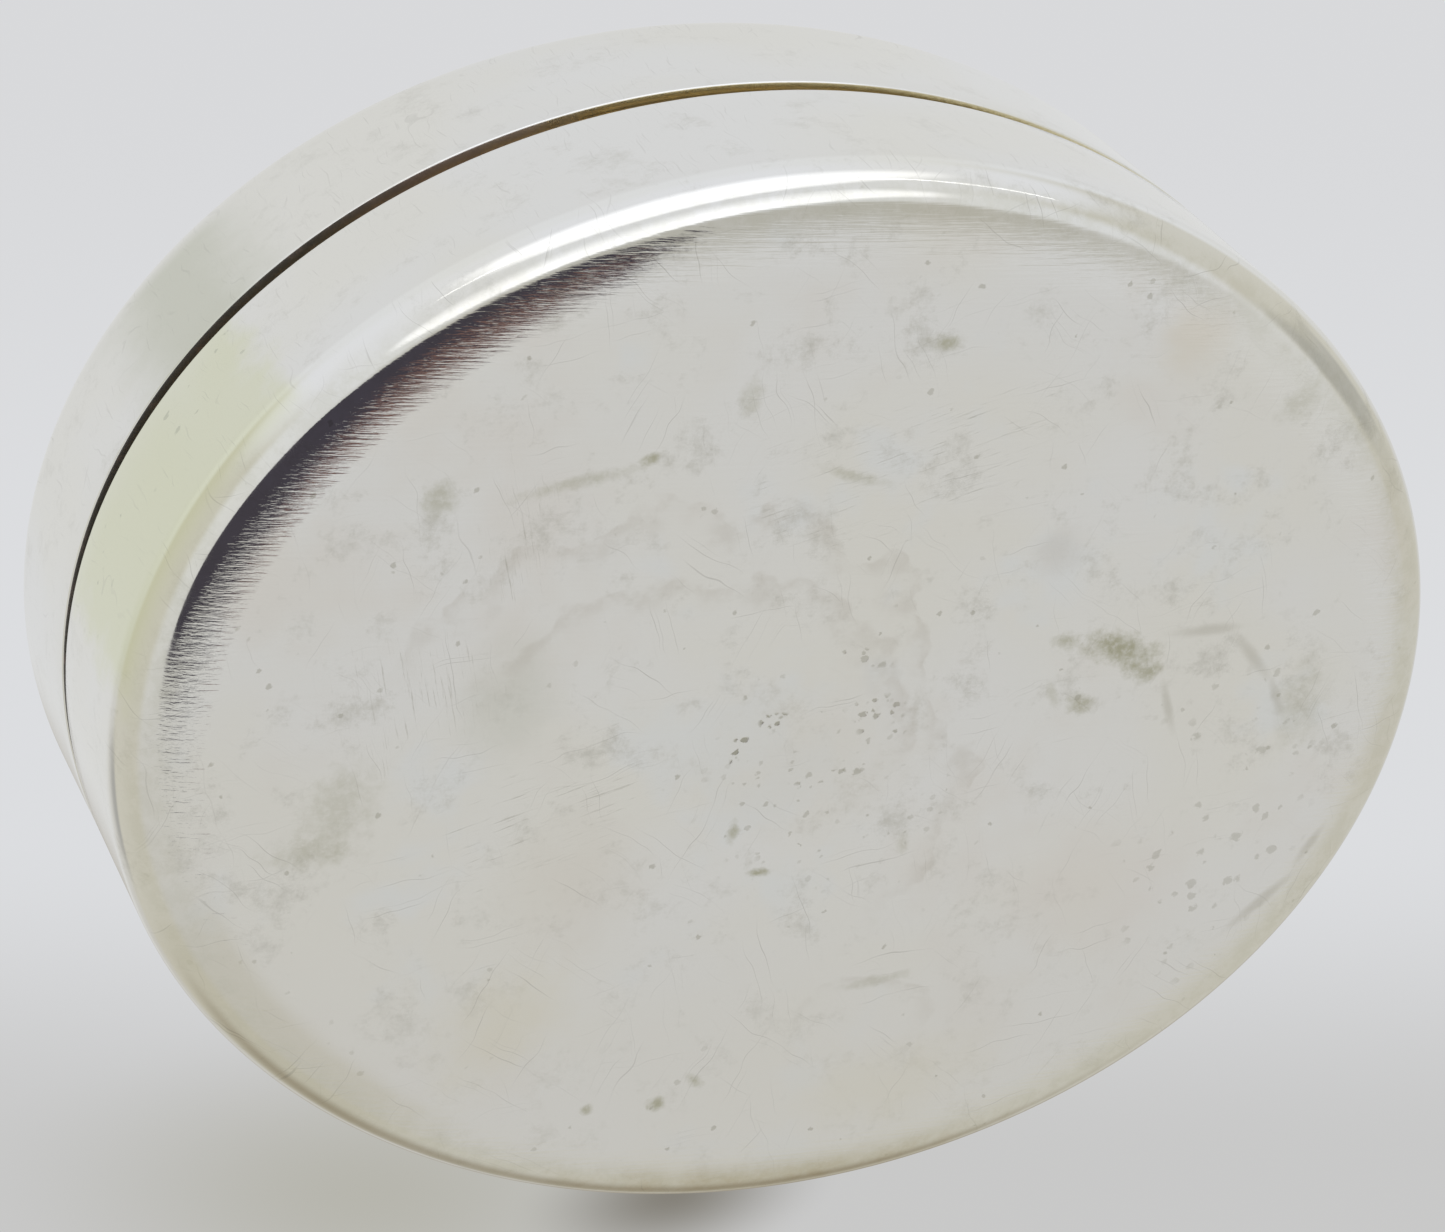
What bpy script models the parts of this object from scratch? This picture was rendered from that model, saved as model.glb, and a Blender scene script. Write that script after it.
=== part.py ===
"""An oval silver pill box with a hinged lid, for Blender 4.5.

Two drawn cups meet at half height. The base carries a gilt collar, the bezel, that stands up inside
the lid's wall. A five-knuckle hinge is let into the middle of the back wall, on a bearer inside each
cup. X runs along the box, the hinge is at +Y, and the box rests on Z = 0 with its lid a crack open.
"""

import math

import bmesh
import bpy
from mathutils import Matrix, Vector

MM = 0.001

# The box: two cups on one oval outline.
LENGTH = 48.4 * MM
WIDTH = 40.0 * MM
BASE_HEIGHT = 7.9 * MM
LID_HEIGHT = 8.0 * MM
SHEET = 0.6 * MM
EDGE_RADIUS = 1.7 * MM
EASE_WIDTH = 3.4 * MM  # how far in from the outline the flat begins to turn up
EASE_RISE = 0.3 * MM  # how far it has risen by the corner
SHUT_GAP = 0.15 * MM  # between the two rims with the lid shut
AJAR = math.radians(1.0)  # how far the lid stands open at rest
SOLDER_GAP = 0.08 * MM  # between pieces that solder joins

# The bezel, a split collar inside the base's wall.
BEZEL_SHEET = 0.4 * MM
BEZEL_HEIGHT = 3.4 * MM
BEZEL_RISE = 1.4 * MM  # how far it stands above the base's rim

# The hinge.
KNUCKLE_COUNT = 5
KNUCKLE_RADIUS = 1.0 * MM
KNUCKLE_PITCH = 2.8 * MM
KNUCKLE_SPACE = 0.1 * MM
PIN_RADIUS = 0.5 * MM
PIN_CLEARANCE = 0.04 * MM
AXIS_INSET = 0.6 * MM  # from the back of the box to the hinge's axis
GROOVE_CLEARANCE = 0.06 * MM
BEARER_THICKNESS = 1.5 * MM
BEARER_HEIGHT = 2.5 * MM

# How finely round shapes are cut.
OVAL_SEGMENTS = 96
EDGE_SEGMENTS = 5
TUBE_SEGMENTS = 24

LID_RIM = BASE_HEIGHT + SHUT_GAP
HINGE_LENGTH = KNUCKLE_COUNT * KNUCKLE_PITCH
HINGE_AXIS = Vector((0, WIDTH / 2 - AXIS_INSET, (BASE_HEIGHT + LID_RIM) / 2))
GROOVE_RADIUS = KNUCKLE_RADIUS + GROOVE_CLEARANCE
LINING_INSET = SHEET + SOLDER_GAP  # from the outline to the pieces that line the wall
BEARER_LENGTH = HINGE_LENGTH + 0.4 * MM
BEZEL_OPENING = BEARER_LENGTH + 0.2 * MM

SILVER = ("silver", (0.78, 0.77, 0.74), 0.22)
GILT = ("gilt", (0.80, 0.62, 0.30), 0.25)
STEEL = ("pin_wire", (0.60, 0.59, 0.57), 0.35)


def clear_scene():
    for old in list(bpy.data.objects):
        bpy.data.objects.remove(old)


def new_collection(name):
    made = bpy.data.collections.new(name)
    bpy.context.scene.collection.children.link(made)
    return made


def metal(name, colour, roughness):
    """A Principled metal, made once for each finish."""
    found = bpy.data.materials.get(name)
    if found:
        return found
    made = bpy.data.materials.new(name)
    made.use_nodes = True
    shader = made.node_tree.nodes["Principled BSDF"]
    shader.inputs["Base Color"].default_value = (*colour, 1)
    shader.inputs["Metallic"].default_value = 1
    shader.inputs["Roughness"].default_value = roughness
    return made


def new_object(name, bm, collection, finish=None, parent=None):
    """Turns the bmesh into a smooth-shaded object of the collection."""
    mesh = bpy.data.meshes.new(name)
    bm.to_mesh(mesh)
    bm.free()
    mesh.shade_smooth()
    mesh.set_sharp_from_angle(angle=math.radians(35))
    obj = bpy.data.objects.new(name, mesh)
    collection.objects.link(obj)
    obj.parent = parent
    if finish:
        mesh.materials.append(metal(*finish))
    return obj


def new_empty(name, collection, location, turn_about_x=0.0):
    empty = bpy.data.objects.new(name, None)
    empty.location = location
    empty.rotation_euler.x = turn_about_x
    collection.objects.link(empty)
    return empty


def oval_point(angle, inset=0.0):
    """A point of the oval outline, moved inwards square to the outline."""
    across = Vector((math.cos(angle) * WIDTH, math.sin(angle) * LENGTH)).normalized()
    return Vector((math.cos(angle) * LENGTH / 2, math.sin(angle) * WIDTH / 2)) - across * inset


def oval_tube(inset, bottom, top, floor=False):
    """The oval outline as an upright wall, open at both ends or with a floor, flat but for its margin."""
    bm = bmesh.new()
    bmesh.ops.create_cone(
        bm, cap_ends=floor, segments=OVAL_SEGMENTS, radius1=1, radius2=1, depth=top - bottom
    )
    if floor:
        cap = max(bm.faces, key=lambda face: face.calc_center_median().z)
        bmesh.ops.delete(bm, geom=[cap], context="FACES_ONLY")
    for vert in bm.verts:
        spot = oval_point(math.atan2(vert.co.y, vert.co.x), inset)
        vert.co = (spot.x, spot.y, vert.co.z + (bottom + top) / 2)
    if floor:
        flat = min(bm.faces, key=lambda face: face.calc_center_median().z)
        margin = bmesh.ops.inset_region(bm, faces=[flat], thickness=EASE_WIDTH)["faces"]
        for vert in {vert for face in margin for vert in face.verts}.difference(flat.verts):
            vert.co.z += EASE_RISE
    return bm


def rod(radius, length, caps=True):
    """A round bar along X, or its bare side wall."""
    bm = bmesh.new()
    bmesh.ops.create_cone(
        bm, cap_ends=caps, segments=TUBE_SEGMENTS, radius1=radius, radius2=radius, depth=length
    )
    bmesh.ops.rotate(bm, verts=bm.verts, matrix=Matrix.Rotation(math.pi / 2, 3, "Y"))
    return bm


def block(size, centre):
    """A box cutter's shape."""
    bm = bmesh.new()
    bmesh.ops.create_cube(bm, size=1)
    bmesh.ops.scale(bm, verts=bm.verts, vec=size)
    bmesh.ops.translate(bm, verts=bm.verts, vec=centre)
    return bm


def add_cutter(name, bm, collection):
    cutter = new_object(name, bm, collection)
    cutter.hide_render = True
    cutter.display_type = "WIRE"
    return cutter


def thicken(obj, thickness):
    """Gives an open surface its thickness, inwards."""
    modifier = obj.modifiers.new("thickness", "SOLIDIFY")
    modifier.thickness = thickness
    modifier.offset = -1
    modifier.use_even_offset = True


def round_edges(obj, radius, segments):
    modifier = obj.modifiers.new("rounded_edge", "BEVEL")
    modifier.width = radius
    modifier.segments = segments
    modifier.limit_method = "ANGLE"


def combine(obj, other, operation):
    modifier = obj.modifiers.new(operation.lower(), "BOOLEAN")
    modifier.operation = operation
    modifier.solver = "EXACT"
    modifier.object = other


def drawn_cup(name, height, collection, parent):
    """A cup with its floor at its own Z = 0 and its rim at the given height."""
    cup = new_object(name, oval_tube(0, 0, height, floor=True), collection, SILVER, parent)
    round_edges(cup, EDGE_RADIUS, EDGE_SEGMENTS)
    thicken(cup, SHEET)
    return cup


def build_shells(collection, base, lid, groove):
    """The two cups, with the hinge's groove filed through both back walls."""
    base_shell = drawn_cup("base_shell", BASE_HEIGHT, collection, base)
    lid_shell = drawn_cup("lid_shell", LID_HEIGHT, collection, lid)
    lid_shell.rotation_euler.x = math.pi
    lid_shell.location = Vector((0, 0, LID_RIM + LID_HEIGHT)) - HINGE_AXIS
    for shell in (base_shell, lid_shell):
        combine(shell, groove, "DIFFERENCE")


def build_bezel(collection, cutters, base):
    """The gilt collar, split at the back to leave room for the hinge."""
    top = BASE_HEIGHT + BEZEL_RISE
    wall = oval_tube(LINING_INSET, top - BEZEL_HEIGHT, top)
    bezel = new_object("base_bezel", wall, collection, GILT, base)
    thicken(bezel, BEZEL_SHEET)
    opening = block((BEZEL_OPENING, WIDTH / 2, 4 * BEZEL_HEIGHT), (0, WIDTH / 2, top))
    combine(bezel, add_cutter("bezel_opening", opening, cutters), "DIFFERENCE")


def hinge_bearer(name, bottom, collection, cutters, groove, parent, origin):
    """A strip that backs the wall behind the hinge, as long as the opening in the bezel."""
    wall = oval_tube(LINING_INSET, bottom, bottom + BEARER_HEIGHT)
    bmesh.ops.translate(wall, verts=wall.verts, vec=-origin)
    bearer = new_object(name, wall, collection, SILVER, parent)
    thicken(bearer, BEARER_THICKNESS)
    kept = block((BEARER_LENGTH, WIDTH / 2, 4 * BEARER_HEIGHT), (0, WIDTH / 2, bottom))
    combine(bearer, add_cutter(name + "_stretch", kept, cutters), "INTERSECT")
    combine(bearer, groove, "DIFFERENCE")


def build_bearers(collection, cutters, base, lid, groove):
    hinge_bearer(
        "base_hinge_bearer", BASE_HEIGHT - BEARER_HEIGHT, collection, cutters, groove, base, Vector()
    )
    hinge_bearer("lid_hinge_bearer", LID_RIM, collection, cutters, groove, lid, HINGE_AXIS)


def build_hinge(collection, base, lid):
    """Five knuckles on one pin: three on the base and, between them, two on the lid."""
    names = ("left", "centre", "right")
    for index in range(KNUCKLE_COUNT):
        along = (index - (KNUCKLE_COUNT - 1) / 2) * KNUCKLE_PITCH
        on_lid = index % 2 == 1
        side = names[0 if along < 0 else 2] if on_lid else names[index // 2]
        wall = rod(KNUCKLE_RADIUS, KNUCKLE_PITCH - KNUCKLE_SPACE, caps=False)
        body = "lid" if on_lid else "base"
        knuckle = new_object(
            f"{body}_knuckle_{side}", wall, collection, SILVER, lid if on_lid else base
        )
        knuckle.location = Vector((along, 0, 0)) + (Vector() if on_lid else HINGE_AXIS)
        thicken(knuckle, KNUCKLE_RADIUS - PIN_RADIUS - PIN_CLEARANCE)
    pin_length = HINGE_LENGTH - 2 * KNUCKLE_SPACE
    pin = new_object("hinge_pin", rod(PIN_RADIUS, pin_length), collection, STEEL, base)
    pin.location = HINGE_AXIS
    round_edges(pin, 0.15 * MM, 2)


def main():
    clear_scene()
    parts = new_collection("pill_box")
    cutters = new_collection("cutters")
    base = new_empty("base", parts, (0, 0, 0))
    lid = new_empty("lid", parts, HINGE_AXIS, turn_about_x=-AJAR)
    groove_shape = rod(GROOVE_RADIUS, HINGE_LENGTH + 2 * GROOVE_CLEARANCE)
    groove = add_cutter("hinge_groove", groove_shape, cutters)
    groove.location = HINGE_AXIS
    build_shells(parts, base, lid, groove)
    build_bezel(parts, cutters, base)
    build_bearers(parts, cutters, base, lid, groove)
    build_hinge(parts, base, lid)


main()
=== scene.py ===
"""The looks of an oval silver pill box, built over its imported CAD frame, for Blender 4.5.

The two drawn cups, the bezel, the knuckles and the pin are made again as fine smooth-shaded
metal of the same size. The camera looks up at the underside, so that the box seems to stand on
its hinge side. Lengths are in millimetres unless a name or a comment says otherwise.
"""

import math

import bmesh
import bpy
from mathutils import Matrix, Vector


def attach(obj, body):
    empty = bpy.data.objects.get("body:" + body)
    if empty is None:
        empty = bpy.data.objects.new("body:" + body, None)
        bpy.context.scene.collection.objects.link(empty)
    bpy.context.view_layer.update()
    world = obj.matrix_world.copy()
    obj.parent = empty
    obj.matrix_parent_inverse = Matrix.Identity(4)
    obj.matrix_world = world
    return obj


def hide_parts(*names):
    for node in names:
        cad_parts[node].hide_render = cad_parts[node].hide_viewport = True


MM = 0.001  # metres

# The box. X runs along it, the hinge is at +Y, and it rests on Z = 0.
LENGTH = 48.4
WIDTH = 40.0
BASE_HEIGHT = 7.9
LID_HEIGHT = 8.0
SHEET = 0.6
EDGE_RADIUS = 1.7
EASE_WIDTH = 3.4  # how far in from the outline the floor begins to turn up
EASE_TURN = 14.0  # degrees that it has turned up by the corner
RIM_ROUND = 0.07
SHUT_GAP = 0.15
AJAR = math.radians(1.0)
LID_RIM = BASE_HEIGHT + SHUT_GAP
LID_TOP = LID_RIM + LID_HEIGHT

# The bezel.
BEZEL_SHEET = 0.4
BEZEL_HEIGHT = 3.4
BEZEL_RISE = 1.4
BEZEL_ROUND = 0.1
BEZEL_OPENING = 14.6
LINING_INSET = 0.68

# The hinge.
AXIS = Vector((0, 19.4, 7.975))
KNUCKLE_RADIUS = 1.0
KNUCKLE_PITCH = 2.8
KNUCKLE_LENGTH = 2.7
BORE_RADIUS = 0.54
PIN_RADIUS = 0.5
PIN_LENGTH = 13.8
PIN_CHAMFER = 0.15
GROOVE_RADIUS = 1.06
GROOVE_LENGTH = 14.12

# How finely round shapes are cut.
AROUND = 320
MARGIN_STEPS = 14
EDGE_STEPS = 24
RIM_STEPS = 4
INNER_EDGE_STEPS = 12
INNER_MARGIN_STEPS = 6
BEZEL_EDGE_STEPS = 5
TUBE_STEPS = 64
GROOVE_STEPS = 96
FLOOR_SHARES = (0.97, 0.9, 0.75, 0.55, 0.35, 0.15)  # sizes of the rings that fill a floor
SHARP_ANGLE = math.radians(40)

# The colours of the metals, of what lies on them, and of the shade and reflections painted on them.
CLEAN_SILVER = (0.890, 0.890, 0.882)
WARM_SILVER = (0.885, 0.875, 0.830)
PINK_SILVER = (0.860, 0.835, 0.800)
BLUE_SILVER = (0.870, 0.890, 0.900)
LOW_SILVER = (0.840, 0.825, 0.785)
FILM = (0.640, 0.630, 0.580)
STAIN = (0.50, 0.49, 0.37)
TRAIL = (0.56, 0.54, 0.47)
DRIED_RING = (0.62, 0.58, 0.52)
HAIRLINE = (0.45, 0.44, 0.38)
SPECK = (0.45, 0.44, 0.37)
PUNCH_DIRT = (0.34, 0.33, 0.25)
# Painted shade on the margin and edge toward the left end on the hinge side.
MARGIN_SHADE = (0.745, 0.715, 0.610)
# The painted reflection of the contact shade where the box meets the table.
MARGIN_CONTACT_SHADE = (0.60, 0.53, 0.39)
# A painted yellowish reflection on the left end of the base.
PAINTED_YELLOW_REFLECTION = (0.815, 0.825, 0.645)
GREEN_SPECK = (0.45, 0.47, 0.38)
GREY_TARNISH = (0.720, 0.725, 0.640)
# Painted shade along the rounded edge of the cups.
EDGE_SHADE = (0.70, 0.69, 0.60)
SCRATCH = (0.42, 0.41, 0.38)
# Rim colours: gilt, and two painted shades of the dark seam.
RIM_SHADE = (0.46, 0.39, 0.36)
RIM_GILT = (0.84, 0.79, 0.62)
RIM_DEEP_SHADE = (0.30, 0.29, 0.27)
GOLD = (0.86, 0.68, 0.36)
RUBBED_GOLD = (0.74, 0.60, 0.38)
DULL_GOLD = (0.58, 0.44, 0.26)
PIN_METAL = (0.62, 0.61, 0.58)
DULL_PIN_METAL = (0.50, 0.48, 0.44)

# The camera, with its three axes, and the stage.
EYE = Vector((-58.24, -67.63, -125.83)) * MM
RIGHT = Vector((0.9324, -0.1304, -0.3372))
UP = Vector((0.0331, -0.8980, 0.4388))
FORWARD = Vector((0.3600, 0.4203, 0.8329))
SENSOR_WIDTH = 36
LENS = 112.1
CLIP_NEAR, CLIP_FAR = 0.005, 5  # metres
TABLE_UP = Vector((-0.138, -0.990, 0.0))  # up for the box as it stands in the view
FLOOR_SIZE = 3000
FLOOR_DROP = 0.2
BACKDROP_DISTANCE = 280
BACKDROP_SIZE = (130, 112)
WALL_RADIUS = 1400
WALL_HEIGHT = 2400
STRIP_DISTANCE = 330
STRIP_WIDTH = 4
STRIP_POWER = 0.008  # watts

# Tinted films on the underside: centre, half size, degrees of turn, colour, amount.
FILMS = (
    ((-11.0, -1.3), (2.6, 3.4), 20, (0.76, 0.765, 0.71), 0.55),
    ((-10.0, 11.5), (2.6, 4.2), 35, (0.83, 0.79, 0.66), 0.55),
    ((-8.0, 6.0), (3.4, 4.0), 10, (0.82, 0.78, 0.72), 0.45),
    ((12.0, -14.0), (1.9, 1.9), 0, (0.85, 0.80, 0.70), 0.55),
    ((5.5, 15.0), (5.0, 2.6), -8, (0.84, 0.81, 0.70), 0.50),
    ((12.5, 7.0), (5.0, 4.0), 0, (0.85, 0.81, 0.77), 0.45),
    ((0.0, 1.5), (6.5, 4.5), 0, (0.83, 0.80, 0.73), 0.40),
    ((8.2, -6.3), (1.3, 1.3), 0, (0.72, 0.69, 0.65), 0.45),
)

# Dark stains on the underside: centre, half size, degrees of turn, amount.
BLOTS = (
    ((11.3, -2.3), (2.1, 0.85), 14, 1.0),
    ((12.4, -1.4), (0.9, 0.6), 0, 0.9),
    ((9.2, -2.7), (0.8, 0.45), 0, 0.7),
    ((10.1, -0.2), (0.75, 0.55), 20, 0.8),
    ((9.0, -0.6), (0.8, 0.3), 60, 0.35),
    ((-2.3, 4.2), (0.32, 0.55), 0, 0.8),
    ((-1.1, 5.9), (0.6, 0.25), 0, 0.95),
    ((2.7, -14.0), (0.9, 0.42), 0, 0.8),
    ((-7.2, -10.0), (0.5, 0.3), -10, 0.9),
    ((-9.6, -9.2), (3.0, 0.35), -14, 0.45),
    ((-14.3, -8.7), (0.8, 1.0), 20, 0.55),
    ((-3.9, -12.1), (0.6, 1.0), 0, 0.35),
    ((-16.6, 2.6), (1.6, 2.6), 25, 0.35),
    ((-17.4, 4.2), (2.4, 0.8), 0, 0.35),
    ((-3.7, 15.1), (0.45, 0.4), 0, 0.9),
    ((-2.4, 14.2), (0.6, 0.3), 30, 0.7),
    ((-6.3, 15.1), (0.3, 0.3), 0, 0.8),
    ((4.0, 10.6), (1.6, 0.3), -10, 0.4),
    ((19.0, 0.2), (1.5, 2.4), 0, 0.30),
    ((0.2, -9.2), (1.7, 0.3), 15, 0.45),
    ((4.2, 5.0), (0.35, 0.6), 0, 0.35),
    ((16.5, -11.5), (1.2, 0.8), -40, 0.35),
)

# The run of a dried trail on the underside: centre, half size, degrees of turn, raggedness.
TRAIL_RUN = (
    ((14.5, -2.9), (2.0, 0.34), -4, 0.30),
    ((16.6, -1.8), (1.8, 0.36), 47, 0.30),
    ((17.9, -0.1), (1.2, 0.28), 65, 0.35),
    ((20.6, 6.0), (1.2, 0.30), -60, 0.35),
    ((18.9, 8.4), (2.4, 0.34), -42, 0.35),
    ((13.6, 0.0), (1.6, 0.26), 70, 0.35),
)

# Dried rings on the underside: centre, half size, width, the side that is closed.
DRIED_RINGS = (
    ((-4.5, 0.5), (8.2, 5.8), 0.05, (0.2, -1)),
    ((-5.6, 2.6), (11.5, 10.5), 0.03, (0.5, -0.9)),
    ((3.8, 12.0), (2.6, 1.6), 0.08, (0.2, -1)),
)

# Clusters of small dents in the underside: centre, half size, degrees of turn, amount.
DENTS = (
    ((-2.5, 1.1), (0.42, 0.90), 0, 1.0),
    ((-1.3, 0.0), (0.75, 0.42), 0, 0.9),
    ((2.6, 0.0), (1.3, 1.0), 30, 0.7),
    ((1.6, -2.4), (1.3, 0.35), 20, 0.5),
    ((0.9, 2.2), (1.6, 0.25), -8, 0.6),
)

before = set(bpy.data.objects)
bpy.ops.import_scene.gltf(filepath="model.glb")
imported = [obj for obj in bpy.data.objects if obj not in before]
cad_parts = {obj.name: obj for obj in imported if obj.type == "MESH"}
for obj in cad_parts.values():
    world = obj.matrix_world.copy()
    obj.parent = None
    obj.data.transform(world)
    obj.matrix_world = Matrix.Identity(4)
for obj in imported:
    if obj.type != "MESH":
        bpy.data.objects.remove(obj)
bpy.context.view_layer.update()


# ---------------------------------------------------------------- node helpers


class Shader:
    """A material's node tree, with short names for the nodes used here."""

    def __init__(self, name):
        self.material = bpy.data.materials.new(name)
        self.material.use_nodes = True
        self.tree = self.material.node_tree
        self.principled = self.tree.nodes["Principled BSDF"]
        self.made = {}
        where = self.add("ShaderNodeTexCoord")
        self.place = self.vector("MULTIPLY", where.outputs["Object"], (1 / MM,) * 3)
        parts = self.add("ShaderNodeSeparateXYZ")
        self.link(self.place, parts.inputs[0])
        self.x, self.y, self.z = parts.outputs

    def add(self, kind, **settings):
        node = self.tree.nodes.new(kind)
        for key, value in settings.items():
            setattr(node, key, value)
        return node

    def link(self, source, socket):
        if isinstance(source, bpy.types.NodeSocket):
            self.tree.links.new(source, socket)
        else:
            socket.default_value = source

    def math(self, operation, first, second=0.0):
        node = self.add("ShaderNodeMath", operation=operation)
        self.link(first, node.inputs[0])
        self.link(second, node.inputs[1])
        return node.outputs[0]

    def vector(self, operation, first, second):
        node = self.add("ShaderNodeVectorMath", operation=operation)
        self.link(first, node.inputs[0])
        self.link(second, node.inputs[1])
        return node.outputs["Value" if operation in ("LENGTH", "DOT_PRODUCT") else 0]

    def turned(self, place, degrees):
        """The place turned about Z."""
        node = self.add("ShaderNodeMapping")
        self.link(place, node.inputs["Vector"])
        node.inputs["Rotation"].default_value.z = math.radians(degrees)
        return node.outputs[0]

    def noise(self, place, scale=1.0, detail=3.0, roughness=0.55, distortion=0.0):
        """A noise layer. The same one is made only once, because a tree has room for few."""
        key = (place.node.name, scale, detail, roughness, distortion)
        if key in self.made:
            return self.made[key]
        node = self.add("ShaderNodeTexNoise")
        self.made[key] = node.outputs["Fac"]
        self.link(place, node.inputs["Vector"])
        node.inputs["Scale"].default_value = scale
        node.inputs["Detail"].default_value = detail
        node.inputs["Roughness"].default_value = roughness
        node.inputs["Distortion"].default_value = distortion
        return node.outputs["Fac"]

    def stretched(self, place, scale, detail=3.0, roughness=0.55):
        return self.noise(self.vector("MULTIPLY", place, scale), 1.0, detail, roughness)

    def fade(self, value, start, end, low=0.0, high=1.0):
        """Goes smoothly from low at start to high at end."""
        node = self.add("ShaderNodeMapRange", interpolation_type="SMOOTHSTEP")
        for socket, number in zip(node.inputs, (value, start, end, low, high)):
            self.link(number, socket)
        return node.outputs[0]

    def both(self, *masks):
        """The masks multiplied together. A number among them weakens the result."""
        result = masks[0]
        for mask in masks[1:]:
            result = self.math("MULTIPLY", result, mask)
        return result

    def either(self, *masks):
        """The strongest of the masks at each point."""
        result = masks[0]
        for mask in masks[1:]:
            result = self.math("MAXIMUM", result, mask)
        return result

    def blot(self, centre, size, degrees=0.0, soft=1.0, ragged=0.6, grain=1.1):
        """A soft-edged oval spot with a ragged outline, the same at every height."""
        offset = self.vector("SUBTRACT", self.place, (*centre, 0))
        turned = self.turned(offset, -degrees)
        flat = self.vector("MULTIPLY", turned, (1 / size[0], 1 / size[1], 0))
        away = self.vector("LENGTH", flat, (0, 0, 0))
        wobble = self.math("SUBTRACT", self.noise(self.place, grain, 4.0, 0.65), 0.5)
        away = self.math("ADD", away, self.math("MULTIPLY", wobble, 2 * ragged))
        return self.fade(away, 1.0, 1.0 - soft)

    def mix(self, mask, first, second):
        node = self.add("ShaderNodeMix", data_type="RGBA")
        self.link(mask, node.inputs["Factor"])
        self.link((*first, 1) if isinstance(first, tuple) else first, node.inputs[6])
        self.link((*second, 1) if isinstance(second, tuple) else second, node.inputs[7])
        return node.outputs[2]

    def bump(self, height, depth, strength=1.0, below=None):
        """Raises the surface by height times depth, in millimetres."""
        node = self.add("ShaderNodeBump")
        self.link(height, node.inputs["Height"])
        node.inputs["Strength"].default_value = strength
        node.inputs["Distance"].default_value = depth * MM
        if below is not None:
            self.link(below, node.inputs["Normal"])
        return node.outputs[0]

    def finish(self, colour, roughness, normal, metallic=1.0):
        inputs = self.principled.inputs
        self.link(colour, inputs["Base Color"])
        self.link(roughness, inputs["Roughness"])
        self.link(normal, inputs["Normal"])
        inputs["Metallic"].default_value = metallic
        return self.material


def scratches(s, mask):
    """Hairline scratches in four directions, slightly curved and gathered in patches."""
    marks = []
    bend = s.add("ShaderNodeCombineXYZ")
    s.link(s.math("MULTIPLY", s.noise(s.place, 0.35, 2.0), 1.2), bend.inputs[1])
    for degrees, seed in ((14, 3.1), (-33, 11.7), (66, 23.9), (-70, 37.3)):
        place = s.vector("ADD", s.turned(s.place, degrees), (seed, seed, 0))
        line = s.stretched(s.vector("ADD", place, bend.outputs[0]), (0.14, 13.0, 0.5), 1.0)
        patch = s.noise(place, 0.26, 2.0)
        marks.append(s.both(s.fade(line, 0.68, 0.76), s.fade(patch, 0.42, 0.66)))
    return s.both(s.either(*marks), mask)


def hairs(s):
    """Worn patches of short dark hairlines that lie two ways."""
    marks = []
    for turn, seed in ((-75, 2.0), (20, 29.0)):
        place = s.vector("ADD", s.turned(s.place, turn), (seed, seed, 0))
        marks.append(s.fade(s.stretched(place, (0.40, 9.0, 0.5), 4.0, 0.75), 0.56, 0.70))
    left = s.either(
        s.blot((-14.4, -1.5), (3.4, 3.2), 0, soft=0.7, ragged=0.9),
        s.blot((-11.5, -7.5), (1.4, 4.0), 0, soft=0.7, ragged=0.9),
    )
    middle = s.either(
        s.blot((-9.0, 3.0), (5.0, 3.0), -25, soft=0.7, ragged=0.9),
        s.blot((2.0, -9.5), (8.0, 3.0), -15, soft=0.7, ragged=0.9),
    )
    return s.either(s.both(marks[0], left), s.both(marks[1], middle))


def dots(s, size, seed, share, swell=0.0):
    """Small ragged specks of corrosion, one to a cell of the given size, in a share of the cells.

    A larger swell makes each speck bigger in its cell.
    """
    wobble = s.add("ShaderNodeCombineXYZ")
    stir = s.noise(s.place, 3.5, 3.0, 0.7)
    s.link(s.math("MULTIPLY", stir, size * 0.9), wobble.inputs[0])
    s.link(s.math("MULTIPLY", stir, size * -0.7), wobble.inputs[1])
    place = s.vector("ADD", s.vector("ADD", s.place, (seed, 2 * seed, 0)), wobble.outputs[0])
    cells = s.add("ShaderNodeTexVoronoi", feature="F1")
    s.link(place, cells.inputs["Vector"])
    cells.inputs["Scale"].default_value = 1 / size
    tone = s.add("ShaderNodeSeparateColor")
    s.link(cells.outputs["Color"], tone.inputs[0])
    kept = s.fade(tone.outputs[0], share, share - 0.05)
    grown = s.math("ADD", s.math("MULTIPLY", tone.outputs[1], 0.20), swell)
    away = s.math("SUBTRACT", cells.outputs["Distance"], grown)
    return s.both(s.fade(away, 0.14, 0.0), kept)


def water_mark(s, centre, size, width, closed_side):
    """The ragged outline that a dried drop leaves: part of an oval ring."""
    warp = s.math("SUBTRACT", s.noise(s.place, 0.30, 3.0, 0.55), 0.5)
    offset = s.vector("SUBTRACT", s.place, (*centre, 0))
    flat = s.vector("MULTIPLY", offset, (1 / size[0], 1 / size[1], 0))
    away = s.vector("LENGTH", flat, (0, 0, 0))
    away = s.math("ADD", away, s.math("MULTIPLY", warp, 0.7))
    inside = s.fade(away, 1.0 - 5 * width, 1.0, 0.0, 1.0)
    side = s.vector("DOT_PRODUCT", offset, (*closed_side, 0))
    broken = s.fade(s.noise(s.place, 0.9, 3.0, 0.6), 0.36, 0.62, 0.15, 1.0)
    outside = s.fade(away, 1.0 + width, 1.0)
    return s.both(inside, inside, outside, s.fade(side, -1.5, 2.5), broken)


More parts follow.
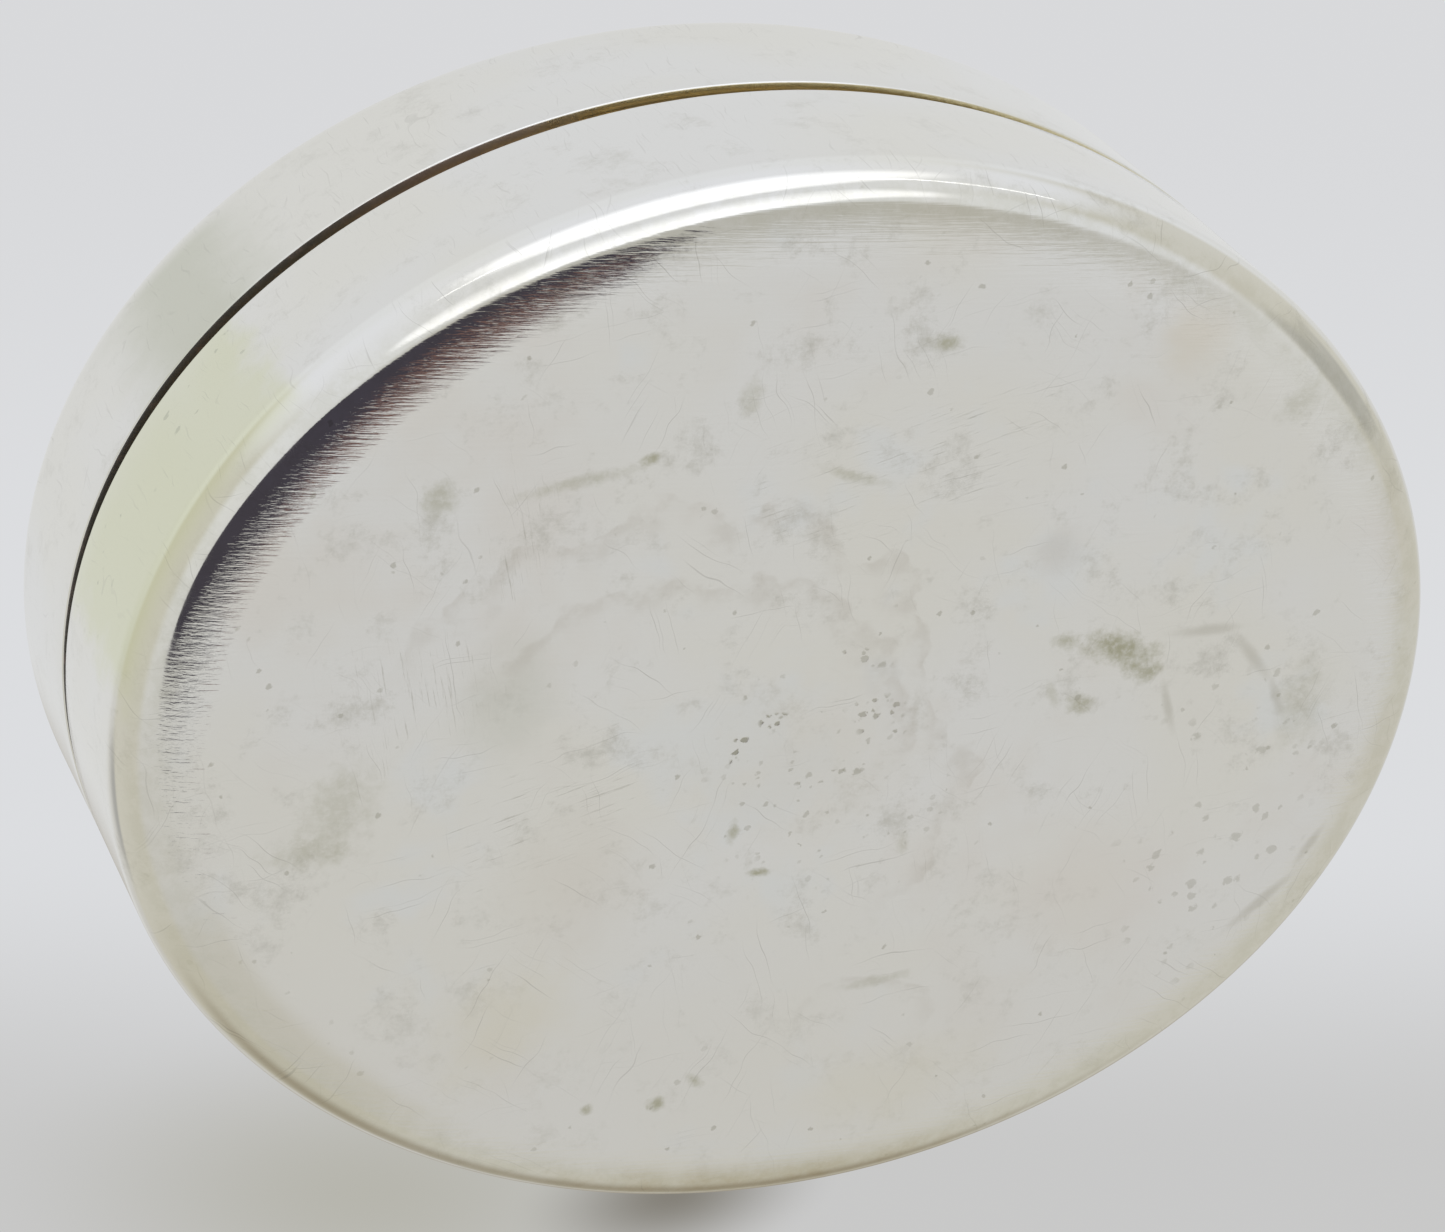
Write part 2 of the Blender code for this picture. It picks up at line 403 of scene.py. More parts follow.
def stains(s, colour, face):
    """The marks of age on the underside: films, stains, a trail, dried rings, lines and specks."""
    rough_grain = s.fade(s.noise(s.place, 3.5, 3.0, 0.7), 0.25, 0.60, 0.45, 1.0)
    for centre, size, turn, tint, amount in FILMS:
        spot = s.blot(centre, size, turn, soft=0.9, ragged=0.5, grain=0.5)
        colour = s.mix(s.both(spot, face, amount), colour, tint)
    for centre, size, turn, amount in BLOTS:
        spot = s.blot(centre, size, turn, soft=0.9, ragged=0.7, grain=1.6)
        colour = s.mix(s.both(spot, rough_grain, face, amount), colour, STAIN)
    trail = s.either(
        *(
            s.blot(centre, size, turn, soft=0.9, ragged=ragged, grain=0.8)
            for centre, size, turn, ragged in TRAIL_RUN
        )
    )
    colour = s.mix(s.both(trail, face, 0.45), colour, TRAIL)
    rings = s.either(*(water_mark(s, *mark) for mark in DRIED_RINGS))
    colour = s.mix(s.both(rings, face, 0.30), colour, DRIED_RING)
    colour = s.mix(s.both(hairs(s), face, 0.55), colour, HAIRLINE)
    right = s.blot((16.5, 4.5), (4.5, 8.5), 10, soft=0.5, ragged=0.6, grain=0.5)
    middle = s.blot((1.0, 3.0), (6.0, 4.5), 0, soft=0.6, ragged=0.6, grain=0.5)
    specks = s.either(
        s.both(dots(s, 0.60, 9.0, 0.60, 0.04), right, 0.36),
        s.both(dots(s, 0.40, 4.0, 0.45, 0.03), middle, 0.45),
        s.both(dots(s, 0.42, 15.0, 0.07), 0.5),
    )
    return s.mix(s.both(specks, face), colour, SPECK)


def punches(s):
    """Small worn wordless dents where a maker would punch the underside."""
    pits = s.either(dots(s, 0.38, 5.0, 0.90, 0.12), dots(s, 0.50, 27.0, 0.6, 0.08))
    clusters = [
        s.both(s.blot(centre, size, turn, soft=0.3, ragged=0.3), amount)
        for centre, size, turn, amount in DENTS
    ]
    return s.both(pits, s.either(*clusters))


def underside_marks(s, colour, normal, depth, face, grime_and_shade, warm):
    """What only the base shows: marks on its floor, painted shade on its margin and hinge-side edge,
    and a painted yellowish reflection with green specks at the left end.
    """
    low_down = s.both(s.fade(s.y, 4.0, 15.0), face, 0.5)
    colour = stains(s, s.mix(low_down, colour, LOW_SILVER), face)
    marks = s.both(punches(s), face)
    colour = s.mix(s.both(marks, 0.75), colour, PUNCH_DIRT)
    # Painted shade: a beige shade over the margin and edge toward the left end on the hinge side.
    film_and_shade = s.blot((-17.0, 11.0), (9.0, 14.0), 40, soft=0.6, ragged=0.4, grain=0.4)
    colour = s.mix(s.both(film_and_shade, s.fade(depth, 0.004, 0.10), 0.6), colour, MARGIN_SHADE)
    # Painted reflection: the table's contact shade mirrored along the hinge-side edge, made patchy by
    # the grime noise.
    contact_shade = s.blot((4.0, 19.5), (15.0, 3.4), 0, soft=0.8, ragged=0.5, grain=0.7)
    amount = s.fade(grime_and_shade, 0.35, 0.65, 0.5, 0.95)
    colour = s.mix(s.both(contact_shade, s.fade(depth, 0.04, 0.3), amount), colour, MARGIN_CONTACT_SHADE)
    # Painted reflection: a yellowish patch on the left end wall, rippled with the warm noise.
    left_end = s.blot((-22.0, -7.0), (5.8, 9.6), -32, soft=0.28, ragged=0.25, grain=0.35)
    left_end = s.both(left_end, s.fade(depth, 0.3, 1.5))
    ripple = s.fade(warm, 0.35, 0.6, 0.75, 1.0)
    colour = s.mix(s.both(left_end, ripple), colour, PAINTED_YELLOW_REFLECTION)
    fret = s.both(dots(s, 0.5, 21.0, 0.25), left_end, s.fade(s.z, 3.6, 5.2), 0.45)
    return s.mix(fret, colour, GREEN_SPECK), s.bump(marks, -0.01, 1.0, normal)


def silver(name, face_z, toward_wall, underside=False):
    """Worn polished silver, which ages differently on a cup's flat face, edge and wall, with painted
    shade along the edge.

    The flat face is at face_z. The wall lies on its +Z side where toward_wall is 1, or -Z for -1.
    """
    s = Shader(name)
    depth = s.math("MULTIPLY", s.math("SUBTRACT", s.z, face_z), toward_wall)
    face = s.fade(depth, 0.9, 0.3)
    warm = s.noise(s.place, 0.10, 2.0, 0.5, 0.4)
    pink = s.noise(s.vector("ADD", s.place, (31, 7, 3)), 0.16, 3.0, 0.6)
    grime_and_shade = s.noise(s.vector("ADD", s.place, (13, 71, 5)), 0.45, 6.0, 0.75)
    colour = s.mix(s.fade(warm, 0.35, 0.66), CLEAN_SILVER, WARM_SILVER)
    colour = s.mix(s.both(s.fade(pink, 0.48, 0.70), face, 0.7), colour, PINK_SILVER)
    colour = s.mix(s.both(s.fade(pink, 0.42, 0.30), face, 0.7), colour, BLUE_SILVER)
    film_share = 0.75 if underside else 0.35
    film_and_shade = s.both(s.fade(grime_and_shade, 0.52, 0.76), s.fade(depth, 3.0, 0.3, 0.45, film_share))
    colour = s.mix(film_and_shade, colour, FILM)

    # Fine polishing lines, strongest on the margin and almost gone on the rounded edge.
    brushed = s.stretched(s.place, (0.35, 16.0, 16.0), 3.0, 0.7)
    streaks = s.fade(s.stretched(s.place, (0.30, 8.0, 8.0), 2.0, 0.6), 0.30, 0.70)
    flat_share = 0.35 if underside else 0.9
    margin = s.both(
        s.fade(depth, 0.0, 0.02, flat_share, 1.0), s.fade(depth, 0.36, 0.15, 0.04, 1.0)
    )
    normal = s.bump(s.both(s.math("ADD", brushed, streaks), margin), 0.0046)

    if underside:
        colour, normal = underside_marks(s, colour, normal, depth, face, grime_and_shade, warm)
    else:
        tarnish = s.blot((-20.0, -11.0), (4.5, 6.5), -35, soft=0.9, ragged=0.3, grain=0.35)
        colour = s.mix(s.both(tarnish, s.fade(depth, 0.9, 2.0)), colour, GREY_TARNISH)
    # Painted shade: a grainy darker band round the rounded edge.
    band_grain = s.fade(s.noise(s.place, 1.1, 3.0, 0.75), 0.35, 0.62, 0.35, 1.0)
    band = s.both(s.fade(depth, 0.05, 0.25), s.fade(depth, 1.1, 0.5), band_grain)
    colour = s.mix(s.both(band, 0.40), colour, EDGE_SHADE)
    scores = scratches(s, s.fade(depth, 3.0, 0.2, 0.45, 1.0))
    colour = s.mix(s.both(scores, 0.38), colour, SCRATCH)
    rough = s.math("ADD", s.fade(warm, 0.3, 0.7, 0.07, 0.12), s.fade(grime_and_shade, 0.45, 0.75, 0.0, 0.12))
    rough = s.both(rough, s.fade(depth, 0.0, 0.25, 1.0, 0.6))
    normal = s.bump(s.noise(s.place, 0.16, 1.0), 0.05, 1.0, normal)
    return s.finish(colour, rough, normal)


def rim_metal(name):
    """The cups' bare rims: gilt, with the seam's dark shade painted over them to the left of the
    front.
    """
    s = Shader(name)
    cloud = s.noise(s.place, 0.8, 4.0, 0.65)
    wander = s.math("MULTIPLY", s.math("SUBTRACT", cloud, 0.5), 9.0)
    along = s.math("ADD", s.x, wander)
    unshaded = s.fade(along, -13.0, -5.0)
    # Painted shade: the rims darken to the left of the front, where the seam lies in shade.
    colour = s.mix(unshaded, RIM_SHADE, RIM_GILT)
    deep_shade = s.both(s.fade(along, -12.0, -18.0), s.fade(s.noise(s.place, 1.7, 3.0), 0.25, 0.50))
    colour = s.mix(deep_shade, colour, RIM_DEEP_SHADE)
    rough = s.fade(unshaded, 0.0, 1.0, 0.40, 0.22)
    return s.finish(colour, rough, s.bump(s.noise(s.place, 6.0, 3.0), 0.006))


def gilt(name):
    """Gold wash over silver, rubbed thin in places."""
    s = Shader(name)
    drawn = s.stretched(s.place, (0.4, 0.4, 8.0), 4.0, 0.6)
    cloud = s.noise(s.place, 0.25, 4.0, 0.6, 0.5)
    fine = s.noise(s.place, 2.2, 4.0, 0.7)
    colour = s.mix(s.fade(cloud, 0.35, 0.7), GOLD, RUBBED_GOLD)
    colour = s.mix(s.both(s.fade(fine, 0.58, 0.75), 0.4), colour, DULL_GOLD)
    rough = s.fade(cloud, 0.3, 0.7, 0.20, 0.34)
    return s.finish(colour, rough, s.bump(drawn, 0.003))


def pin_wire(name):
    """Drawn nickel silver wire, dull in places."""
    s = Shader(name)
    drawn = s.stretched(s.place, (0.4, 9.0, 9.0), 3.0)
    cloud = s.noise(s.place, 0.9, 3.0)
    colour = s.mix(s.fade(cloud, 0.35, 0.7), PIN_METAL, DULL_PIN_METAL)
    return s.finish(colour, s.fade(cloud, 0.3, 0.7, 0.28, 0.42), s.bump(drawn, 0.003))


# ---------------------------------------------------------------- shapes


def outline(angle, inset):
    """A point of the oval outline in millimetres, moved inwards square to it."""
    across = Vector((math.cos(angle) * WIDTH, math.sin(angle) * LENGTH)).normalized()
    return Vector((math.cos(angle) * LENGTH / 2, math.sin(angle) * WIDTH / 2)) - across * inset


def arc(centre, radius, start, end, steps):
    """Points of a profile's rounded corner, as (inset, height)."""
    turns = [start + (end - start) * i / steps for i in range(steps + 1)]
    return [
        (centre[0] + radius * math.cos(t), centre[1] + radius * math.sin(t))
        for t in map(math.radians, turns)
    ]


def ring(bm, inset, height, share=1.0):
    """A ring of points on the outline, shrunk to a share of its size."""
    spots = [outline(2 * math.pi * i / AROUND, inset) * share for i in range(AROUND)]
    return [bm.verts.new((spot.x, spot.y, height)) for spot in spots]


def bridge(bm, first, second):
    """A band of faces between two rings of as many points."""
    for i in range(len(first)):
        j = (i + 1) % len(first)
        bm.faces.new((first[i], first[j], second[j], second[i]))


def oval_shell(profile, floors):
    """Sweeps the (inset, height) profile round the outline.

    With floors, its two ends close over in a floor. Without, they join each other.
    """
    bm = bmesh.new()
    rings = [ring(bm, inset, height) for inset, height in profile]
    if floors:
        outer_floor = [ring(bm, *profile[0], share) for share in FLOOR_SHARES]
        outer_middle = bm.verts.new((0, 0, profile[0][1]))
        inner_floor = [ring(bm, *profile[-1], share) for share in FLOOR_SHARES]
        inner_middle = bm.verts.new((0, 0, profile[-1][1]))
        rings = outer_floor[::-1] + rings + inner_floor
    for first_ring, second_ring in zip(rings, rings[1:]):
        bridge(bm, first_ring, second_ring)
    if floors:
        for i in range(AROUND):
            j = (i + 1) % AROUND
            bm.faces.new((outer_middle, rings[0][j], rings[0][i]))
            bm.faces.new((inner_middle, rings[-1][i], rings[-1][j]))
    else:
        bridge(bm, rings[-1], rings[0])
    bmesh.ops.recalc_face_normals(bm, faces=bm.faces)
    return bm


def eased(start, end, low, rise, steps):
    """The margin of a floor, which turns up ever more steeply from the flat to the corner."""
    shares = [step / steps for step in range(steps)]
    return [(start - (start - end) * share, low + rise * share**2) for share in shares]


def cup_profile(height):
    """From the flat of the outside floor, round the edge, over the rim and down the inside."""
    turn = math.radians(EASE_TURN)
    rim = height - RIM_ROUND
    start = EDGE_RADIUS * (1 - math.sin(turn))
    rise = (EASE_WIDTH - start) * math.tan(turn) / 2
    centre = (EDGE_RADIUS, rise + EDGE_RADIUS * math.cos(turn))
    inner_radius = EDGE_RADIUS - SHEET
    inner_start = EDGE_RADIUS - inner_radius * math.sin(turn)
    inner_edge = arc(centre, inner_radius, 180, 270 - EASE_TURN, INNER_EDGE_STEPS)
    inner_rise = inner_edge[-1][1] - SHEET
    return (
        eased(EASE_WIDTH, start, 0.0, rise, MARGIN_STEPS)
        + arc(centre, EDGE_RADIUS, 270 - EASE_TURN, 180, EDGE_STEPS)
        + [(0, centre[1] + (rim - centre[1]) * share) for share in (0.2, 0.4, 0.6, 0.8)]
        + arc((RIM_ROUND, rim), RIM_ROUND, 180, 90, RIM_STEPS)
        + arc((SHEET - RIM_ROUND, rim), RIM_ROUND, 90, 0, RIM_STEPS)
        + inner_edge
        + eased(EASE_WIDTH, inner_start, SHEET, inner_rise, INNER_MARGIN_STEPS)[::-1]
    )


def bezel_profile(bottom, top):
    """Up the outside of the collar, over its rounded top and down to its chamfered foot."""
    outer, inner, edge = LINING_INSET, LINING_INSET + BEZEL_SHEET, BEZEL_ROUND
    return (
        [(outer, bottom + edge)]
        + [(outer, bottom + (BEZEL_HEIGHT - edge) * share) for share in (0.3, 0.6)]
        + arc((outer + edge, top - edge), edge, 180, 90, BEZEL_EDGE_STEPS)
        + arc((inner - edge, top - edge), edge, 90, 0, BEZEL_EDGE_STEPS)
        + [(inner, bottom + edge), (inner - edge, bottom), (outer + edge, bottom)]
    )


def tube_mesh(outer, inner, length, middle, chamfer=0.06, around=TUBE_STEPS):
    """A round bar along X with chamfered ends, solid where inner is 0 and bored where it isn't."""
    half = length / 2
    profile = [(half - chamfer, outer), (half, outer - chamfer)]
    if inner:
        profile += [(half, inner + chamfer / 2), (half - chamfer / 2, inner)]
    profile += [(-x, r) for x, r in reversed(profile)]
    bm = bmesh.new()
    rings = []
    for x, radius in profile:
        turns = [2 * math.pi * i / around for i in range(around)]
        spots = [(x, radius * math.cos(t), radius * math.sin(t)) for t in turns]
        rings.append([bm.verts.new(Vector(spot) + middle) for spot in spots])
    if inner:
        pairs = [*zip(rings, rings[1:]), (rings[-1], rings[0])]
    else:
        pairs = [(rings[0], rings[1]), (rings[2], rings[3]), (rings[0], rings[3])]
        bm.faces.new(rings[1])
        bm.faces.new(rings[2])
    for first, second in pairs:
        bridge(bm, first, second)
    bmesh.ops.recalc_face_normals(bm, faces=bm.faces)
    return bm


def new_object(name, bm, materials=()):
    """Turns the bmesh, drawn in millimetres, into a smooth-shaded object."""
    bmesh.ops.scale(bm, verts=bm.verts, vec=(MM, MM, MM))
    mesh = bpy.data.meshes.new(name)
    bm.to_mesh(mesh)
    bm.free()
    mesh.shade_smooth()
    mesh.set_sharp_from_angle(angle=SHARP_ANGLE)
    for material in materials:
        mesh.materials.append(material)
    obj = bpy.data.objects.new(name, mesh)
    bpy.context.scene.collection.objects.link(obj)
    return obj


def cut(obj, bm):
    """Cuts a shape away with a Boolean, whose cutter is made for it and removed."""
    cutter = new_object("cutter", bm)
    modifier = obj.modifiers.new("cut", "BOOLEAN")
    modifier.operation = "DIFFERENCE"
    modifier.solver = "EXACT"
    modifier.object = cutter
    evaluated = obj.evaluated_get(bpy.context.evaluated_depsgraph_get())
    made = bpy.data.meshes.new_from_object(evaluated)
    obj.modifiers.remove(modifier)
    obj.data = made
    bpy.data.objects.remove(cutter)
    made.set_sharp_from_angle(angle=SHARP_ANGLE)


def box_mesh(low, high):
    """A box between two corners."""
    bm = bmesh.new()
    bmesh.ops.create_cube(bm, size=1)
    low, high = Vector(low), Vector(high)
    bmesh.ops.scale(bm, verts=bm.verts, vec=high - low)
    bmesh.ops.translate(bm, verts=bm.verts, vec=(low + high) / 2)
    return bm


def groove():
    """The round groove filed along both back walls for the hinge."""
    return tube_mesh(GROOVE_RADIUS, 0, GROOVE_LENGTH, AXIS, 0.001, GROOVE_STEPS)


def paint_inside(obj, rim_z):
    """Gives the second material to the faces that look into the box, and the third to the rim."""
    for face in obj.data.polygons:
        x, y, z = (c / MM for c in face.center)
        inward = Vector((-x / LENGTH**2, -y / WIDTH**2, 0)).normalized()
        faces_in = face.normal.dot(inward) > 0.35
        from_seam = z - BASE_HEIGHT
        inner_floor = abs(face.normal.z) > 0.5 and face.normal.z * from_seam < 0
        faces_seam = inner_floor and abs(from_seam) > 1.5
        on_rim = abs(z - rim_z) < 0.02 and abs(face.normal.z) > 0.9
        face.material_index = 2 if on_rim else int(faces_in or faces_seam)


def replace(obj, body, node):
    """Lets the piece stand for a CAD node and ride on the node's body."""
    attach(obj, body)
    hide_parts(node)


def build_cups(gold, rim):
    base_silver = silver("base_silver", 0.0, 1.0, underside=True)
    base = new_object("base_cup", oval_shell(cup_profile(BASE_HEIGHT), True), (base_silver, gold, rim))
    cut(base, groove())
    paint_inside(base, BASE_HEIGHT)
    replace(base, "base", "base_shell")

    lid_silver = silver("lid_silver", LID_TOP, -1.0)
    mesh = oval_shell(cup_profile(LID_HEIGHT), True)
    bmesh.ops.rotate(mesh, verts=mesh.verts, matrix=Matrix.Rotation(math.pi, 3, "X"))
    bmesh.ops.translate(mesh, verts=mesh.verts, vec=(0, 0, LID_TOP))
    lid = new_object("lid_cup", mesh, (lid_silver, gold, rim))
    cut(lid, groove())
    paint_inside(lid, LID_RIM)
    to_axis = Matrix.Translation(AXIS * MM)
    lid.data.transform(to_axis @ Matrix.Rotation(-AJAR, 4, "X") @ to_axis.inverted())
    replace(lid, "lid", "lid_shell")


def build_bezel(gold):
    top = BASE_HEIGHT + BEZEL_RISE
    bottom = top - BEZEL_HEIGHT
    bezel = new_object("bezel_collar", oval_shell(bezel_profile(bottom, top), False), (gold,))
    half = BEZEL_OPENING / 2
    cut(bezel, box_mesh((-half, WIDTH / 4, bottom - 2), (half, WIDTH * 5 / 8, top + 2)))
    replace(bezel, "base", "base_bezel")


def build_hinge(gold):
    """Five knuckles, left to right, on one pin, and a finish for the two bearers behind them."""
    plain = silver("hinge_silver", 0.0, 1.0)
    knuckles = ("base_left", "lid_left", "base_centre", "lid_right", "base_right")
    for index, name in enumerate(knuckles):
        body, side = name.split("_")
        middle = AXIS + Vector(((index - 2) * KNUCKLE_PITCH, 0, 0))
        mesh = tube_mesh(KNUCKLE_RADIUS, BORE_RADIUS, KNUCKLE_LENGTH, middle)
        knuckle = new_object(f"{body}_tube_{side}", mesh, (plain,))
        replace(knuckle, body, f"{body}_knuckle_{side}")
    pin_mesh = tube_mesh(PIN_RADIUS, 0, PIN_LENGTH, AXIS, PIN_CHAMFER)
    pin = new_object("pin", pin_mesh, (pin_wire("pin_metal"),))
    replace(pin, "base", "hinge_pin")
    for body in ("base", "lid"):
        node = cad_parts[f"{body}_hinge_bearer"]
        node.data.materials.clear()
        node.data.materials.append(gold)


# ---------------------------------------------------------------- camera and stage


def aimed(right, up, back, place):
    """A matrix whose axes are right, up and back, at place."""
    turn = Matrix((right, up, back)).transposed().to_4x4()
    return Matrix.Translation(place) @ turn


def add_camera():
    data = bpy.data.cameras.new("camera")
    data.sensor_width = SENSOR_WIDTH
    data.lens = LENS
    data.clip_start = CLIP_NEAR
    data.clip_end = CLIP_FAR
    camera = bpy.data.objects.new("camera", data)
    camera.matrix_world = aimed(RIGHT, UP, -FORWARD, EYE)
    bpy.context.scene.collection.objects.link(camera)
    bpy.context.scene.camera = camera


def card(name, width, height, matrix):
    """A flat stage card, seen from its +Z side."""
    bm = bmesh.new()
    bmesh.ops.create_grid(bm, x_segments=1, y_segments=1, size=0.5)
    bmesh.ops.scale(bm, verts=bm.verts, vec=(width, height, 1))
    obj = new_object(name, bm)
    obj.matrix_world = matrix
    return obj


def camera_only(obj):
    """Keeps a stage piece out of reflections, bounced light and shadows."""
    obj.visible_glossy = False
    obj.visible_diffuse = False
    obj.visible_shadow = False
    obj.visible_transmission = False
    obj.visible_volume_scatter = False


def seen_from_front(material, shader):
    """Shows the shader on the front of a surface, and leaves its back clear."""
    tree = material.node_tree
    clear = tree.nodes.new("ShaderNodeBsdfTransparent")
    side = tree.nodes.new("ShaderNodeNewGeometry")
    choose = tree.nodes.new("ShaderNodeMixShader")
    tree.links.new(side.outputs["Backfacing"], choose.inputs[0])
    tree.links.new(shader, choose.inputs[1])
    tree.links.new(clear.outputs[0], choose.inputs[2])
    output = next(node for node in tree.nodes if node.type == "OUTPUT_MATERIAL")
    tree.links.new(choose.outputs[0], output.inputs[0])


def self_lit(obj, s, colour):
    """Finishes a stage piece that glows in its own colour and lights nothing."""
    light = s.add("ShaderNodeEmission")
    s.link(colour, light.inputs["Color"])
    seen_from_front(s.material, light.outputs[0])
    obj.data.materials.append(s.material)
    camera_only(obj)


def add_floor():
    """A pale floor under the box, clear from below."""
    floor = card("floor", FLOOR_SIZE, FLOOR_SIZE, Matrix.Translation((0, 0, -FLOOR_DROP * MM)))
    s = Shader("floor_paper")
    colour = s.mix(s.noise(s.place, 0.02, 2.0), (0.78, 0.78, 0.785), (0.80, 0.80, 0.80))
    s.finish(colour, 0.9, s.bump(s.noise(s.place, 3.0), 0.002), metallic=0.0)
    seen_from_front(s.material, s.principled.outputs[0])
    floor.data.materials.append(s.material)
    camera_only(floor)


def add_backdrop():
    """A pale card behind the box as the camera sees it, a little darker low down, with a painted soft
    shadow and a painted contact shadow below the box.
    """
    place = EYE + FORWARD * BACKDROP_DISTANCE * MM
    backdrop = card("backdrop", *BACKDROP_SIZE, aimed(RIGHT, UP, -FORWARD, place))
    s = Shader("backdrop_paper")
    tone = s.fade(s.y, -34.0, -13.0)
    colour = s.mix(tone, (0.580, 0.580, 0.578), (0.715, 0.725, 0.745))
    colour = s.mix(s.fade(s.y, 0.0, 34.0), colour, (0.690, 0.695, 0.710))
    # Painted shadows: a soft shadow and a darker contact shadow below the box.
    shadow_near_box = s.blot((-22.0, -36.0), (27.0, 12.0), 0, 1.0, 0.0)
    colour = s.mix(s.both(shadow_near_box, 0.6), colour, (0.400, 0.390, 0.315))
    contact = s.blot((-3.0, -36.0), (11.0, 5.0), 12, 1.0, 0.0)
    colour = s.mix(s.both(contact, 0.9), colour, (0.200, 0.185, 0.155))
    self_lit(backdrop, s, colour)


def add_walls():
    """A pale round wall far behind the box, seen by the camera alone and only from inside."""
    bm = bmesh.new()
    bmesh.ops.create_cone(
        bm,
        cap_ends=False,
        segments=96,
        radius1=WALL_RADIUS,
        radius2=WALL_RADIUS,
        depth=WALL_HEIGHT,
    )
    bmesh.ops.recalc_face_normals(bm, faces=bm.faces)
    bmesh.ops.reverse_faces(bm, faces=bm.faces)
    bmesh.ops.translate(bm, verts=bm.verts, vec=(0, 0, WALL_HEIGHT / 2 - 1))
    walls = new_object("walls", bm)
    s = Shader("wall_paper")
    tone = s.fade(s.z, 0.0, 900.0)
    colour = s.mix(tone, (0.560, 0.560, 0.562), (0.640, 0.645, 0.650))
    colour = s.mix(s.both(s.noise(s.place, 0.004, 2.0), 0.2), colour, (0.60, 0.60, 0.60))
    self_lit(walls, s, colour)


def add_strip(name, start, end):
    """A long thin light between two directions as seen from the box."""
    start, end = start * STRIP_DISTANCE, end * STRIP_DISTANCE
    place = (start + end) / 2
    away = place.normalized()
    right = (end - start).cross(away).normalized()
    data = bpy.data.lights.new(name, "AREA")
    data.shape = "RECTANGLE"
    data.size = STRIP_WIDTH * MM
    data.size_y = (end - start).length * MM
    data.energy = STRIP_POWER
    light = bpy.data.objects.new(name, data)
    light.matrix_world = aimed(right, away.cross(right), away, place * MM)
    bpy.context.scene.collection.objects.link(light)


class Sky(Shader):
    """The world's node tree, which colours the light by its direction in the box's frame."""

    def __init__(self):
        world = bpy.data.worlds.new("tent")
        bpy.context.scene.world = world
        world.use_nodes = True
        self.tree = world.node_tree
        self.place = self.add("ShaderNodeTexCoord").outputs["Generated"]
        parts = self.add("ShaderNodeSeparateXYZ")
        self.link(self.place, parts.inputs[0])
        self.x, self.y, self.z = parts.outputs

    def patch(self, middle, size, soft, degrees=0.0):
        """An oval patch of sky, placed by the X and Y of its directions."""
        offset = self.vector("SUBTRACT", self.place, (*middle, 0))
        turned = self.turned(offset, -degrees)
        flat = self.vector("MULTIPLY", turned, (1 / size[0], 1 / size[1], 0))
        return self.fade(self.vector("LENGTH", flat, (0, 0, 0)), 1.0, 1.0 - soft)


